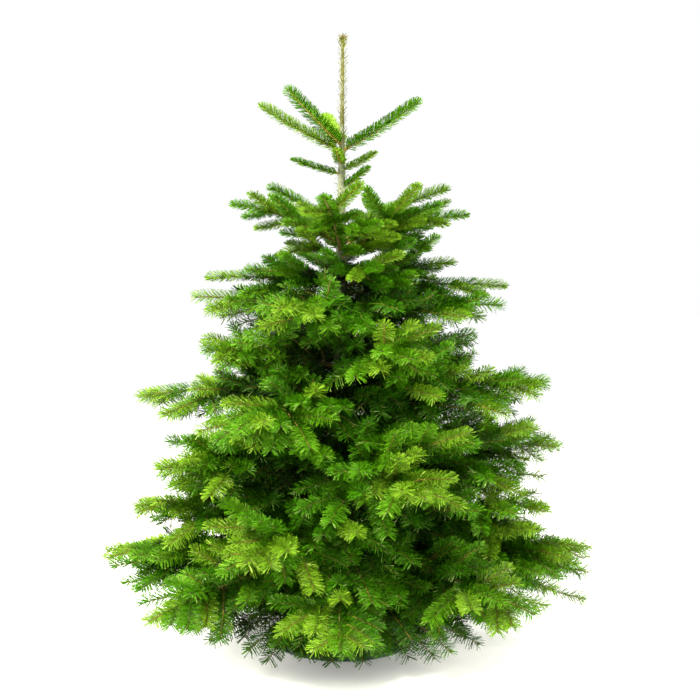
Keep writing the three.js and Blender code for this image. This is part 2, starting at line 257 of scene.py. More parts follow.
FINER_LEAST = 30  # added to that
FINER_MOST = {1: 200, 2: 130}
FINER_SHORTEST = 78
FINER_ANGLE = 50
FINER_GIRTH = 1.7
UNEVEN = 0.16  # how much their places and lengths vary
SHORTENED = 0.85  # a twig that reaches too far is cut to this share of its length, again and again
BRUSH_TIERS = (1, 2, 3)
BRUSH_PARENT = 170  # on those tiers shorter twigs than this are plain brushes
YEAR_TIP = 105  # the end of a twig, which grew last year and has no side twigs yet
LOWEST_TIP = [(330, 62), (450, 98), (560, 152), (640, 185)]  # no twig ends lower, at each distance out
FURTHEST = 1.02  # nor further out than this, over the crown's reach


class Twig:
    """A shoot of any age, with its length, girth and order from the trunk, where a bough has order 0.

    Tiers count from the top, and the small twigs above the second whorl are tier 0. A twig bears needles from
    leafy_from on, a share of its length.
    """

    def __init__(self, axis, length, order, girth, tier, leafy_from=0.0):
        self.axis, self.length, self.order, self.girth = axis, length, order, girth
        self.tier, self.leafy_from = tier, leafy_from


def jitter(amount):
    """Up or down by this amount at most, drawn anew each time."""
    return amount * (2 * RANDOM.rand() - 1)


def side_twig(parent, at, side, angle, length, tilt, curl, order, girth):
    """A side twig that is grown shorter where it would pass the crown's reach, or is left out."""
    while True:
        axis = twig_axis(parent.axis, at, side, angle, length, tilt, curl)
        lowest = np.interp(np.hypot(*axis.tip[:2]), *zip(*LOWEST_TIP))
        if openness(axis.tip) < FURTHEST and axis.tip[2] > lowest:
            return Twig(axis, length, order, girth, parent.tier)
        length *= SHORTENED
        if length < FINER_SHORTEST:
            return None


def branch_finer(twig, grown):
    """Adds a twig, then its own side twigs in pairs, the outer ones shorter, and theirs in turn."""
    if twig is None:
        return
    grown.append(twig)
    if twig.order == 0 or twig.order >= FINEST_ORDER.get(twig.tier, 3):
        return
    if twig.order == 2 and (twig.length < FINEST_PARENT or openness(twig.axis.tip) < FINEST_OPEN):
        return
    if twig.tier in BRUSH_TIERS and twig.length < BRUSH_PARENT:
        return
    step = NODE_STEP[twig.order]
    for pair in range(int(twig.length // step)):
        for side in (-1, 1):
            place = TWIG_FOOT + (pair + 0.5 + jitter(UNEVEN)) * step
            beyond = twig.length - place
            length = min(FINER_SHARE[twig.order] * beyond + FINER_LEAST, FINER_MOST[twig.order])
            length *= 1 + jitter(UNEVEN)
            if beyond < YEAR_TIP or length < FINER_SHORTEST:
                continue
            angle = radians(FINER_ANGLE + jitter(9))
            tilt = 0.06 + jitter(0.5)
            curl = 0.06 - 0.02 * twig.tier + jitter(0.05)  # up on the upper tiers, down on the lower
            at = place / twig.length
            order = twig.order + 1
            branch_finer(side_twig(twig, at, side, angle, length, tilt, curl, order, FINER_GIRTH), grown)


def solid_side_twigs(tier, number, index, reach, gap_ahead, gap_behind):
    """The side twigs that a bough's solid has: place, side, angle, full length, tilt and curl of each."""
    bare = LIMB_SHARE if tier.get("limb") else BARE_SHARE
    for pair in range(tier["pairs"]):
        for side in (-1, 1):
            right = side > 0
            key = 2 * pair + right + 1
            at = bare + (1 - bare) * (pair + 0.42 + 0.12 * right) / (tier["pairs"] + 0.55)
            angle = radians(TWIG_ANGLE + vary(5, number, index, key, 2))
            gap = gap_behind if right else gap_ahead
            length = min(TWIG_SHARE * (1 - at) * reach + TWIG_LEAST, room_beside(gap, at * reach, angle))
            raised = TWIG_TILT if (pair + right) % 2 else -TWIG_TILT
            tilt = tier["lean"] + raised + vary(0.12, number, index, key, 3)
            curl = 0.04 - 0.012 * number + vary(0.03, number, index, key, 4)
            yield at, side, angle, length, tilt, curl


def between_twigs(listed, tier, reach):
    """Shorter twigs between those: a pair that lies level, some that stand up and some that hang."""
    places = sorted(at for at, *_ in listed)[::2]
    for gap, (low, high) in enumerate(zip([places[0] - 0.1] + places, places + [BOUGH_END])):
        if tier["pairs"] == 2 and gap != 1:
            continue
        middle = (low + high) / 2
        beyond = (1 - middle) * reach
        for side in (-1, 1):
            length = (LEVEL_SHARE + jitter(0.1)) * beyond + LEVEL_LEAST
            at = middle + jitter(0.02)
            yield at, side, radians(FINER_ANGLE + jitter(7)), length, tier["lean"] + jitter(0.3), 0.02
        for count in range(tier["upright"] if high < BOUGH_END else 1):
            tilt = UPRIGHT_TILTS[(gap + count) % len(UPRIGHT_TILTS)]
            length = UPRIGHT_SHARE * beyond + UPRIGHT_LEAST + jitter(22)
            at = middle + jitter(0.06)
            yield at, jitter(1), radians(UPRIGHT_ANGLE), length, tilt + jitter(0.2), 0.06 * tilt


def grow_tier(tier, number):
    """A tier's boughs, with the side twigs that their solids have and the shorter ones between those."""
    grown = []
    azimuths = tier["azimuths"]
    for index, azimuth in enumerate(azimuths):
        gap_ahead = (azimuths[(index + 1) % len(azimuths)] - azimuth) % 360
        gap_behind = (azimuth - azimuths[index - 1]) % 360
        reach = by_side(tier["reach"], azimuth)
        rise = by_side(tier["rise"], azimuth)
        root = tier["root"] + (STAGGER if index % 2 else -STAGGER)
        bow = vary(0.02 * reach, number, index, 0, 1)
        axis = bough_axis(root, azimuth, reach, rise, tier["arch"], bow)
        leafy_from = BRUSH_LEAFY_FROM if number in BRUSH_TIERS else LEAFY_FROM
        bough = Twig(axis, float(np.hypot(reach, rise)), 0, tier["girth"], number, leafy_from)
        grown.append(bough)
        if tier["pairs"] == 0:
            continue
        listed = list(solid_side_twigs(tier, number, index, reach, gap_ahead, gap_behind))
        for at, side, angle, length, tilt, curl in listed + list(between_twigs(listed, tier, reach)):
            if length < SHORTEST_SIDE_TWIG:
                continue
            girth = SIDE_GIRTH + GIRTH_BY_LENGTH * length
            branch_finer(side_twig(bough, at, side, angle, length, tilt, curl, 1, girth), grown)
    return grown


# Twigs straight from the trunk: height, azimuth, length over the crown's reach, and rise over length
WHORL_TWIGS = [  # that fill the second whorl
    (1062, 318, 0.72, 0.32), (1070, 216, 0.78, 0.3), (1058, 90, 0.7, 0.4), (1050, 24, 0.7, 0.2),
    (1075, 20, 0.92, 0.36), (1045, 350, 0.85, 0.08), (1050, 198, 0.72, 0.02), (1040, 288, 0.7, 0.05),
]
WHORL_BRUSHES = [(1085, 6, 1.1, 0.5), (1096, 188, 0.84, 0.72)]  # on top of it, without side twigs
BESIDE_TWIGS = [(942, 4, 1.2, 0.04), (962, 14, 1.05, 0.2), (955, 186, 1.2, 0.08)]  # of the third tier
GAP_TWIGS = [  # where the boughs leave a gap
    (462, 356, 1.1, -0.02), (232, 356, 0.98, -0.15), (905, 300, 0.75, 0), (900, 225, 0.7, 0),
    (800, 322, 0.75, 0), (690, 310, 0.78, 0), (590, 296, 0.55, 0), (560, 328, 0.75, 0), (540, 214, 0.7, 0),
    (425, 318, 0.6, 0), (400, 226, 0.7, 0), (385, 300, 0.6, 0), (300, 296, 0.75, 0), (290, 340, 0.7, 0),
    (700, 160, 0.7, 0), (560, 100, 0.7, 0), (420, 30, 0.7, 0), (410, 160, 0.7, 0), (290, 90, 0.7, 0),
    (290, 205, 0.7, 0), (640, 335, 0.75, 0), (630, 20, 0.7, 0), (262, 354, 1.04, 0.03),
    (240, 356, 0.99, -0.05), (238, 185, 1.0, -0.04), (232, 188, 0.93, -0.1),
]
SKIRT_TWIGS = [  # that hang over the stand
    (215, 293, 0.78, -0.22), (200, 338, 0.7, -0.22), (205, 248, 0.75, -0.22), (195, 200, 0.7, -0.22),
    (225, 312, 0.6, -0.2), (190, 276, 0.6, -0.22), (165, 236, 0.66, -0.22), (160, 286, 0.64, -0.22),
    (165, 256, 0.6, -0.25), (160, 304, 0.66, -0.22), (185, 335, 0.74, -0.2), (190, 305, 0.75, -0.25),
    (150, 262, 0.6, -0.2), (150, 275, 0.58, -0.22), (155, 247, 0.6, -0.2), (150, 290, 0.58, -0.2),
    (170, 322, 0.68, -0.22), (165, 218, 0.66, -0.2), (175, 352, 0.62, -0.18), (175, 184, 0.62, -0.18),
    (152, 254, 0.58, -0.27), (152, 266, 0.58, -0.27), (152, 279, 0.58, -0.27), (152, 297, 0.6, -0.26),
    (152, 240, 0.6, -0.26), (165, 60, 0.66, -0.22), (170, 96, 0.66, -0.22), (165, 130, 0.66, -0.22),
]
LISTED_GIRTH = 3.6
LISTED_ARCH = 16
TRUNK_SHOOTS = 84  # short ones, which hide the trunk inside the crown
SHOOTS_FROM = 165
SHOOTS_TO = 980
SHOOT_SHARE = 0.4  # of the crown's reach at the front
SHOOT_RISE = 34
SHOOT_GIRTH = 2
SMALL_TWIG_GIRTH = 2.4
GOLDEN = pi * (3 - 5 ** 0.5)  # the turn from one leaf or shoot round a stem to the next


def trunk_shoots():
    """The listed twigs straight from the trunk, and short ones that hide it inside the crown."""
    grown = []
    lists = [(1, WHORL_BRUSHES), (2, WHORL_TWIGS), (3, BESIDE_TWIGS), (len(TIERS), GAP_TWIGS + SKIRT_TWIGS)]
    for tier, listed in lists:
        for height, azimuth, share, rise in listed:
            length = share * crown_reach((cos(radians(azimuth)), sin(radians(azimuth)), height))
            axis = bough_axis(height, azimuth, length, rise * length + jitter(12), LISTED_ARCH, jitter(8))
            branch_finer(Twig(axis, length, 1, LISTED_GIRTH, tier, LEAFY_FROM), grown)
    for count in range(TRUNK_SHOOTS):
        height = SHOOTS_FROM + (SHOOTS_TO - SHOOTS_FROM) * (count + RANDOM.rand()) / TRUNK_SHOOTS
        length = SHOOT_SHARE * crown_reach((0, -1, height)) + jitter(30)
        rise = SHOOT_RISE + jitter(26)
        axis = bough_axis(height, count * np.degrees(GOLDEN), length, rise, 4, jitter(5))
        branch_finer(Twig(axis, length, 1, SHOOT_GIRTH, len(TIERS), 0.12), grown)
    return grown


def grow_tree():
    """Every bough, side twig and shoot of the tree, tier by tier."""
    grown = []
    for number, tier in enumerate(TIERS, 1):
        grown += grow_tier(tier, number)
    for twig in SMALL_TWIGS:
        axis = bough_axis(arch=-3, bow=0, **twig)
        grown.append(Twig(axis, 1.08 * twig["reach"], 0, SMALL_TWIG_GIRTH, 0, 0.1))
    return grown + trunk_shoots()


# Colours and nodes

def linear(colour):
    """An sRGB hex colour, such as 7A9F35, as linear red, green, blue and alpha."""
    parts = [int(colour[i:i + 2], 16) / 255 for i in (0, 2, 4)]
    return [c / 12.92 if c <= 0.04045 else ((c + 0.055) / 1.055) ** 2.4 for c in parts] + [1]


def add_node(tree, kind, inputs=(), stops=(), **settings):
    """Adds a node with its settings, its inputs, which are named or numbered, and a colour ramp's stops."""
    node = tree.nodes.new(kind)
    for name, value in settings.items():
        setattr(node, name, value)
    for name, value in dict(inputs).items():
        if isinstance(value, bpy.types.NodeSocket):
            tree.links.new(value, node.inputs[name])
        else:
            node.inputs[name].default_value = value
    if stops:
        elements = node.color_ramp.elements
        while len(elements) < len(stops):
            elements.new(0.5)
        for element, (place, colour) in zip(elements, stops):
            element.position, element.color = place, linear(colour)
    return node


def geometry_tree(name, inputs):
    """A geometry node tree with its named inputs, and its input and output nodes."""
    tree = bpy.data.node_groups.new(name, "GeometryNodeTree")
    for label, kind in {"Geometry": "NodeSocketGeometry", **inputs}.items():
        tree.interface.new_socket(label, in_out="INPUT", socket_type=kind)
    tree.interface.new_socket("Geometry", in_out="OUTPUT", socket_type="NodeSocketGeometry")
    return tree, tree.nodes.new("NodeGroupInput").outputs, tree.nodes.new("NodeGroupOutput").inputs


def realise(tree, geometry, given, result):
    """Ends a geometry tree: its instances are made real and get the material."""
    real = add_node(tree, "GeometryNodeRealizeInstances", {"Geometry": geometry})
    dressed = add_node(
        tree, "GeometryNodeSetMaterial", {"Geometry": real.outputs[0], "Material": given["Material"]},
    )
    tree.links.new(dressed.outputs[0], result["Geometry"])


def seated_copies_tree():
    """Sets a copy of one shape on every point, turned and sized by the point's own attributes."""
    tree, given, result = geometry_tree(
        "seated_copies", {"Shape": "NodeSocketObject", "Material": "NodeSocketMaterial"},
    )
    stored = [
        add_node(tree, "GeometryNodeInputNamedAttribute", {"Name": label}, data_type="FLOAT_VECTOR")
        for label in ("along", "facing", "size")
    ]
    along, facing, size = (node.outputs[0] for node in stored)
    shape = add_node(tree, "GeometryNodeObjectInfo", {"Object": given["Shape"]})
    turn = add_node(
        tree, "FunctionNodeAxesToRotation", {"Primary Axis": along, "Secondary Axis": facing},
        primary_axis="Y", secondary_axis="Z",
    )
    copies = add_node(
        tree, "GeometryNodeInstanceOnPoints",
        {"Points": given["Geometry"], "Instance": shape.outputs["Geometry"],
         "Rotation": turn.outputs[0], "Scale": size},
    )
    realise(tree, copies.outputs[0], given, result)
    return tree


def wood_tree():
    """Turns lines into round wood that follows the girth stored on their points."""
    tree, given, result = geometry_tree(
        "wood_along_lines", {"Sides": "NodeSocketInt", "Material": "NodeSocketMaterial"},
    )
    line = add_node(tree, "GeometryNodeMeshToCurve", {"Mesh": given["Geometry"]})
    ring = add_node(tree, "GeometryNodeCurvePrimitiveCircle", {"Resolution": given["Sides"], "Radius": 1.0})
    girth = add_node(tree, "GeometryNodeInputNamedAttribute", {"Name": "girth"}, data_type="FLOAT")
    wood = add_node(
        tree, "GeometryNodeCurveToMesh",
        {"Curve": line.outputs[0], "Profile Curve": ring.outputs["Curve"],
         "Scale": girth.outputs[0], "Fill Caps": True},
    )
    realise(tree, wood.outputs[0], given, result)
    return tree


# Materials: each pattern's scale is one over the size of its patches, lines or grains

def surface(name, constants):
    """A material, its tree, its shader's inputs with these constants set, and its Object coordinates."""
    made = bpy.data.materials.new(name)
    made.use_nodes = True
    shader = made.node_tree.nodes["Principled BSDF"]
    for label, value in constants.items():
        shader.inputs[label].default_value = value
    place = add_node(made.node_tree, "ShaderNodeTexCoord").outputs["Object"]
    return made, made.node_tree, shader.inputs, place


def needle_material(name, colour):
    """Fir needle, a leaf with a waxed skin: a soft gloss over a green that varies from needle to needle."""
    constants = {"Roughness": 0.36, "IOR": 1.4, "Specular IOR Level": 0.5, "Specular Tint": linear("FFEE9E")}
    made, tree, shader, place = surface(name, constants)
    uneven = add_node(tree, "ShaderNodeTexNoise", {"Vector": place, "Scale": 1 / (7 * MM), "Detail": 2})
    shade = add_node(
        tree, "ShaderNodeMapRange", {"Value": uneven.outputs[0], 1: 0.32, 2: 0.68, 3: 0.66, 4: 1.34},
    )
    tinted = add_node(tree, "ShaderNodeHueSaturation", {"Value": shade.outputs[0], "Color": linear(colour)})
    tree.links.new(tinted.outputs[0], shader["Base Color"])
    return made


def twig_material(name, young, old):
    """Bark of a fir twig: olive to brown skin, matt, darker in patches where the old needles stood."""
    made, tree, shader, place = surface(name, {"Roughness": 0.7, "IOR": 1.45})
    patches = add_node(tree, "ShaderNodeTexNoise", {"Vector": place, "Scale": 1 / (9 * MM), "Detail": 3})
    colour = add_node(
        tree, "ShaderNodeValToRGB", {"Fac": patches.outputs[0]}, [(0.3, old), (0.5, young), (0.72, old)],
    )
    grain = add_node(tree, "ShaderNodeTexNoise", {"Vector": place, "Scale": 1 / (1.6 * MM), "Detail": 2})
    relief = add_node(
        tree, "ShaderNodeBump", {"Height": grain.outputs[0], "Strength": 0.35, "Distance": 0.4 * MM},
    )
    tree.links.new(colour.outputs[0], shader["Base Color"])
    tree.links.new(relief.outputs[0], shader["Normal"])
    return made


BARK_BY_HEIGHT = [  # from the cut to the leader's tip, as shares of the tree's height
    (0.0, "5E5142"), (0.3, "6C6355"), (0.58, "74735F"), (0.66, "7E816C"),
    (0.78, "83876C"), (0.83, "5A5A2A"), (0.95, "585420"), (1.0, "4A481A"),
]
LICHEN = "979E88"


def bark_material():
    """Smooth bark of a young fir: grey-brown at the foot, grey-green above and olive on the leader."""
    made, tree, shader, place = surface("young_fir_bark", {"Roughness": 0.78, "IOR": 1.45})
    height = add_node(tree, "ShaderNodeSeparateXYZ", {"Vector": place}).outputs["Z"]
    share = add_node(tree, "ShaderNodeMapRange", {"Value": height, 2: TREE_TOP * MM})
    base = add_node(tree, "ShaderNodeValToRGB", {"Fac": share.outputs[0]}, BARK_BY_HEIGHT)
    lying = add_node(tree, "ShaderNodeMapping", {"Vector": place, "Scale": (1, 1, 3.2)}).outputs[0]
    lenticels = add_node(tree, "ShaderNodeTexNoise", {"Vector": lying, "Scale": 1 / (7 * MM), "Detail": 4})
    lichen = add_node(tree, "ShaderNodeTexNoise", {"Vector": place, "Scale": 1 / (38 * MM), "Detail": 3})
    shade = add_node(
        tree, "ShaderNodeMapRange", {"Value": lenticels.outputs[0], 1: 0.35, 2: 0.68, 3: 0.66, 4: 1.2},
    )
    shaded = add_node(tree, "ShaderNodeHueSaturation", {"Value": shade.outputs[0], "Color": base.outputs[0]})
    spread = add_node(
        tree, "ShaderNodeMapRange", {"Value": lichen.outputs[0], 1: 0.52, 2: 0.66, 3: 0, 4: 0.5},
    )
    grown_over = add_node(
        tree, "ShaderNodeMix", {0: spread.outputs[0], 6: shaded.outputs[0], 7: linear(LICHEN)},
        data_type="RGBA",
    )
    relief = add_node(
        tree, "ShaderNodeBump", {"Height": lenticels.outputs[0], "Strength": 0.5, "Distance": 1.2 * MM},
    )
    tree.links.new(grown_over.outputs[2], shader["Base Color"])
    tree.links.new(relief.outputs[0], shader["Normal"])
    return made


def end_grain_material():
    """Sawn end of the trunk: pale wood with a darker ring for every year, and the pith in its middle."""
    made, tree, shader, place = surface("sawn_fir_end_grain", {"Roughness": 0.85, "IOR": 1.45})
    flat = add_node(tree, "ShaderNodeMapping", {"Vector": place, "Scale": (1, 1, 0)}).outputs[0]
    # At 20 mm the wave node's rings are 6.3 mm apart, wider than a fir's years, so that they show
    rings = add_node(
        tree, "ShaderNodeTexWave",
        {"Vector": flat, "Scale": 1 / (20 * MM), "Distortion": 1.2, "Detail": 2},
        wave_type="RINGS", rings_direction="Z",
    )
    colour = add_node(
        tree, "ShaderNodeValToRGB", {"Fac": rings.outputs[0]},
        [(0.0, "D9BE8C"), (0.7, "CDAE7A"), (1.0, "A47F4C")],
    )
    tree.links.new(colour.outputs[0], shader["Base Color"])
    return made


def bud_material():
    """Resting fir bud: olive scales with a thin coat of resin, which gives a wet point of light."""
    constants = {"Roughness": 0.42, "IOR": 1.5, "Coat Weight": 0.25}
    made, tree, shader, place = surface("fir_bud_scales", constants)
    scales = add_node(tree, "ShaderNodeTexVoronoi", {"Vector": place, "Scale": 1 / (1.8 * MM)})
    colour = add_node(
        tree, "ShaderNodeValToRGB", {"Fac": scales.outputs[0]},
        [(0.1, "4C461A"), (0.5, "585020"), (0.9, "3A3214")],
    )
    tree.links.new(colour.outputs[0], shader["Base Color"])
    return made


def stand_material():
    """Injection-moulded polypropylene, dark green: a fine spark-eroded grain breaks up its low gloss."""
    made, tree, shader, place = surface("moulded_polypropylene_green", {"IOR": 1.49})
    cloud = add_node(tree, "ShaderNodeTexNoise", {"Vector": place, "Scale": 1 / (60 * MM), "Detail": 3})
    colour = add_node(
        tree, "ShaderNodeValToRGB", {"Fac": cloud.outputs[0]}, [(0.3, "1C3A29"), (0.7, "24472F")],
    )
    gloss = add_node(
        tree, "ShaderNodeMapRange", {"Value": cloud.outputs[0], 1: 0.3, 2: 0.7, 3: 0.38, 4: 0.52},
    )
    # Real spark-eroded grain is about 0.1 mm, too fine to show
    grain = add_node(tree, "ShaderNodeTexNoise", {"Vector": place, "Scale": 1 / (0.9 * MM), "Detail": 1})
    relief = add_node(
        tree, "ShaderNodeBump", {"Height": grain.outputs[0], "Strength": 0.25, "Distance": 0.15 * MM},
    )
    tree.links.new(colour.outputs[0], shader["Base Color"])
    tree.links.new(gloss.outputs[0], shader["Roughness"])
    tree.links.new(relief.outputs[0], shader["Normal"])
    return made


def screw_material():
    """Zinc-plated steel: a cool grey shine that blooms paler and duller in small patches."""
    made, tree, shader, place = surface("zinc_plated_steel", {"Metallic": 1.0})
    bloom = add_node(tree, "ShaderNodeTexNoise", {"Vector": place, "Scale": 1 / (6 * MM), "Detail": 3})
    colour = add_node(
        tree, "ShaderNodeValToRGB", {"Fac": bloom.outputs[0]}, [(0.3, "B9BDC2"), (0.7, "CFCFC8")],
    )
    gloss = add_node(
        tree, "ShaderNodeMapRange", {"Value": bloom.outputs[0], 1: 0.3, 2: 0.7, 3: 0.26, 4: 0.42},
    )
    tree.links.new(colour.outputs[0], shader["Base Color"])
    tree.links.new(gloss.outputs[0], shader["Roughness"])
    return made


def floor_material():
    """Matt white studio board: plain, with a trace of unevenness, and a glow for the light round it."""
    constants = {"Roughness": 0.9, "Emission Color": (1, 1, 1, 1), "Emission Strength": 0.14}
    made, tree, shader, place = surface("matt_studio_board", constants)
    cloud = add_node(tree, "ShaderNodeTexNoise", {"Vector": place, "Scale": 1 / (400 * MM), "Detail": 2})
    colour = add_node(
        tree, "ShaderNodeValToRGB", {"Fac": cloud.outputs[0]}, [(0.3, "EFEFEE"), (0.7, "F3F3F2")],
    )
    tree.links.new(colour.outputs[0], shader["Base Color"])
    return made


# Pieces

FOLIAGE = [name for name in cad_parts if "foliage" in name or name.startswith("small_twig")]
LIMBS = [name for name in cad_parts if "_bough_" in name]


def piece(name, mesh, slot, *nodes):
    """Puts a finished mesh in the scene as a piece of the tree, in place of some nodes."""
    made = in_scene(name, mesh)
    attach(made, BODY)
    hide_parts(*nodes)
    return made


def mesh_of(name, places, faces=(), edges=(), **attributes):
    """A mesh from points in millimetres, with attributes of one or three numbers on each point."""
    mesh = bpy.data.meshes.new(name)
    mesh.from_pydata(np.asarray(places) * MM, edges, faces)
    for label, values in attributes.items():
        values = np.asarray(values, np.float32)
        kind, field = ("FLOAT", "value") if values.ndim == 1 else ("FLOAT_VECTOR", "vector")
        mesh.attributes.new(label, kind, "POINT").data.foreach_set(field, values.ravel())
    return mesh


def grown_mesh(name, tree, carrier_mesh, inputs):
    """Runs a geometry tree on a mesh, with its inputs set, and gives the result as a plain mesh."""
    carrier = in_scene(name + "_carrier", carrier_mesh)
    modifier = carrier.modifiers.new("grown", "NODES")
    modifier.node_group = tree
    for item in tree.interface.items_tree:
        if item.in_out == "INPUT" and item.name in inputs:
            modifier[item.identifier] = inputs[item.name]
    evaluated = carrier.evaluated_get(bpy.context.evaluated_depsgraph_get())
    made = bpy.data.meshes.new_from_object(evaluated)
    made.name = name
    for label in ("along", "facing", "size", "girth"):
        if label in made.attributes:
            made.attributes.remove(made.attributes[label])
    bpy.data.objects.remove(carrier)
    return made


def skin_faces(rings, sides):
    """Faces of a closed skin over rings of points that run the same way round, with a cap at each end."""
    ring = np.arange(rings - 1)[:, None] * sides
    a = ring + np.arange(sides)
    b = ring + (np.arange(sides) + 1) % sides
    quads = np.stack([a, b, b + sides, a + sides], -1).reshape(-1, 4).tolist()
    last = (rings - 1) * sides
    return quads + [list(range(sides))[::-1], list(range(last, last + sides))]


def smoothed(mesh, angle=40):
    """Shades a mesh smooth, apart from its edges that are sharper than an angle."""
    mesh.shade_smooth()
    mesh.set_sharp_from_angle(angle=radians(angle))
    return mesh


# Sprays

SPRAY_LENGTH = 95  # about one year's growth
TOP_TIERS = (0, 1)  # whose shoots all stand in the open
UPPER_TIERS = (0, 1, 2)  # whose sprays all lie in full light, and get light greens: partly fresh shoots, partly painted light
NEEDLE_GREENS = [  # from the shaded heart of the crown to its freshest tips; the darker greens are partly painted shade, the lighter partly painted light
    "142F0A", "193C08", "1F4E05", "285A03", "306602", "3B7204", "487C09", "608816",
]
LEADER_GREEN = "5E641C"  # the leader's needles are short and olive

# What picks a spray's green: how fresh it is, with painted shade and painted light by where it lies
OUTER_SHARE = 1.1  # for the way out in the crown: greens darker towards the trunk, for older needles and for painted shade
FRESH_TIP = 0.22  # how much further out a tip's spray counts as lying
UPPER_OUT_AND_LIT = 1.15  # how far out the upper tiers' sprays count as lying: lighter greens, for fresh shoots and for painted light
PAINTED_SHADE_BELOW = 300  # from this height down the sprays get darker greens, as painted shade
PAINTED_SHADE_SHARE = 0.15
VIGOUR = 0.35  # how much a vigorous twig's sprays are fresher
UPPER_VIGOUR = 0.4  # times that on the upper tiers, which are more even
CHANCE_SHARE = 0.1


class Spray:
    """A stretch of a twig whose needles share one green."""

    def __init__(self, twig, start, end, is_tip, vigour):
        self.twig, self.start, self.end, self.is_tip = twig, start, end, is_tip
        self.length = (end - start) * twig.length
        middle = twig.axis.at((start + end) / 2)
        self.open = 1 if twig.tier in TOP_TIERS else openness(middle)
        low = max(0, 1 - middle[2] / PAINTED_SHADE_BELOW)
        upper = twig.tier in UPPER_TIERS
        outer = UPPER_OUT_AND_LIT if upper else min(self.open, 1) + FRESH_TIP * is_tip
        # Painted shade and painted light: the green is darker nearer the trunk and towards the floor, and
        # lighter on the upper tiers
        self.freshness_and_painted_light = OUTER_SHARE * outer - PAINTED_SHADE_SHARE * low
        self.freshness_and_painted_light += (UPPER_VIGOUR if upper else 1) * VIGOUR * vigour + CHANCE_SHARE * RANDOM.rand()


def sprays_of(twig):
    """The sprays that a twig's leafy stretch falls into, the last of them at its tip."""
    leafy = 1 - twig.leafy_from
    count = max(1, round(leafy * twig.length / SPRAY_LENGTH))
    vigour = RANDOM.rand()
    for part in range(count):
        start = twig.leafy_from + leafy * part / count
        yield Spray(twig, start, start + leafy / count, part == count - 1, vigour)


# Needles

NEEDLE_LENGTH = 31
NEEDLE_WIDTH = 2.7
FAN = np.radians([-122, -90, -54, 0, 54, 90, 122])  # round the shoot from its upper side, parted below it
FAN_STEP = 4.1  # along the shoot, from one fan of needles to the next, where the crown is open
SHADED_STEP = 1.5  # times that nearer the trunk than IN_SHADE, over the crown's reach
HIDDEN_STEP = 2.6  # and this nearer than HIDDEN, where twigs are too deep in the crown to be seen
IN_SHADE = 0.7
HIDDEN = 0.42
FLAT_LEAN = radians(62)  # of a needle away from its shoot
UPPER_SIDE_LEAN = radians(12)  # less than that on the shoot's upper side
TIP_LEAN = radians(24)  # and less again at a twig's end, where the needles close round the bud
TIP_FROM = 0.75  # of the last spray
UPPER_SIDE_SHORTER = 0.14  # needles on the shoot's upper side, over their length
TIP_SHORTER = 0.3
STEP_SPREAD = 0.07  # how unevenly needles stand along the shoot, over the step
TURN_SPREAD = 0.24  # and round it
WAY_SPREAD = 0.035  # in the way that they point
FACING_SPREAD = 0.5  # in the way that their flat side faces
LENGTH_SPREAD = (-0.12, 0.08)
WIDTH_SPREAD = (-0.12, 0.12)
NEEDLE_ROOT = 0.8  # how far from the shoot's middle they start, over its girth

# Down to tier 3 the shoots are brushes. By tier: the step, a fan's spread, and how much shorter needles are
BRUSH_FAN_STEP = {0: 2.1, 1: 2.1, 2: 2.45, 3: 2.8}
BRUSH_SPREAD = {0: 0.9, 1: 0.9, 2: 0.98, 3: 1}
BRUSH_SHORTER = {0: 0.36, 1: 0.06, 2: 0.2, 3: 0.14}
UNDERSIDE_SHORTER = 0.3  # more than that below the shoot
BRUSH_LEAN = radians(55)

needle_shape = mesh_of(
    "needle", np.array([(-0.42, 0, 0), (0.42, 0, 0), (0.3, 1, 0.26), (-0.3, 1, -0.26)]) / MM,
    faces=[(0, 1, 2, 3)],
)


def fan_step(spray):
    """How far apart a spray's fans of needles stand, which is wider where less of them shows."""
    if spray.twig.tier in BRUSH_FAN_STEP:
        return BRUSH_FAN_STEP[spray.twig.tier]
    return FAN_STEP * (1 if spray.open > IN_SHADE else SHADED_STEP if spray.open > HIDDEN else HIDDEN_STEP)


def needle_points(spray):
    """Roots, directions, facings and sizes of a spray's needles, which stand in fans as on a comb."""
    twig = spray.twig
    is_brush = twig.tier in BRUSH_SPREAD
    fans = max(2, round(spray.length / fan_step(spray)))
    count = fans * len(FAN)
    share = (np.repeat(np.arange(fans), len(FAN)) + 0.5 + RANDOM.normal(0, STEP_SPREAD, count)) / fans
    at = np.clip(spray.start + (spray.end - spray.start) * share, 0, 1)
    place, along, side, normal = twig.axis.frame(at)
    turn = np.tile(FAN, fans) * BRUSH_SPREAD.get(twig.tier, 1) + RANDOM.normal(0, TURN_SPREAD, count)
    up = np.cos(turn)
    out = up[:, None] * normal + np.sin(turn)[:, None] * side
    ending = np.clip((share - TIP_FROM) / (1 - TIP_FROM), 0, 1) ** 2 * spray.is_tip
    lean = (BRUSH_LEAN if is_brush else FLAT_LEAN - UPPER_SIDE_LEAN * up) - TIP_LEAN * ending
    way = along * np.cos(lean)[:, None] + out * np.sin(lean)[:, None]
    way = way + RANDOM.normal(0, WAY_SPREAD, (count, 3))
    facing = normal - 0.8 * up[:, None] * along + RANDOM.normal(0, FACING_SPREAD, (count, 3))
    grown = 1 - UPPER_SIDE_SHORTER * np.maximum(up, 0) - TIP_SHORTER * ending
    if is_brush:
        grown -= BRUSH_SHORTER[twig.tier] + UNDERSIDE_SHORTER * np.maximum(-up, 0)
    length = NEEDLE_LENGTH * grown * (1 + RANDOM.uniform(*LENGTH_SPREAD, count))
    width = NEEDLE_WIDTH * (1 + RANDOM.uniform(*WIDTH_SPREAD, count))
    roots = place + out * twig_girth(twig, at)[:, None] * NEEDLE_ROOT
    return roots, way, facing, np.stack([width, length, width], -1) * MM


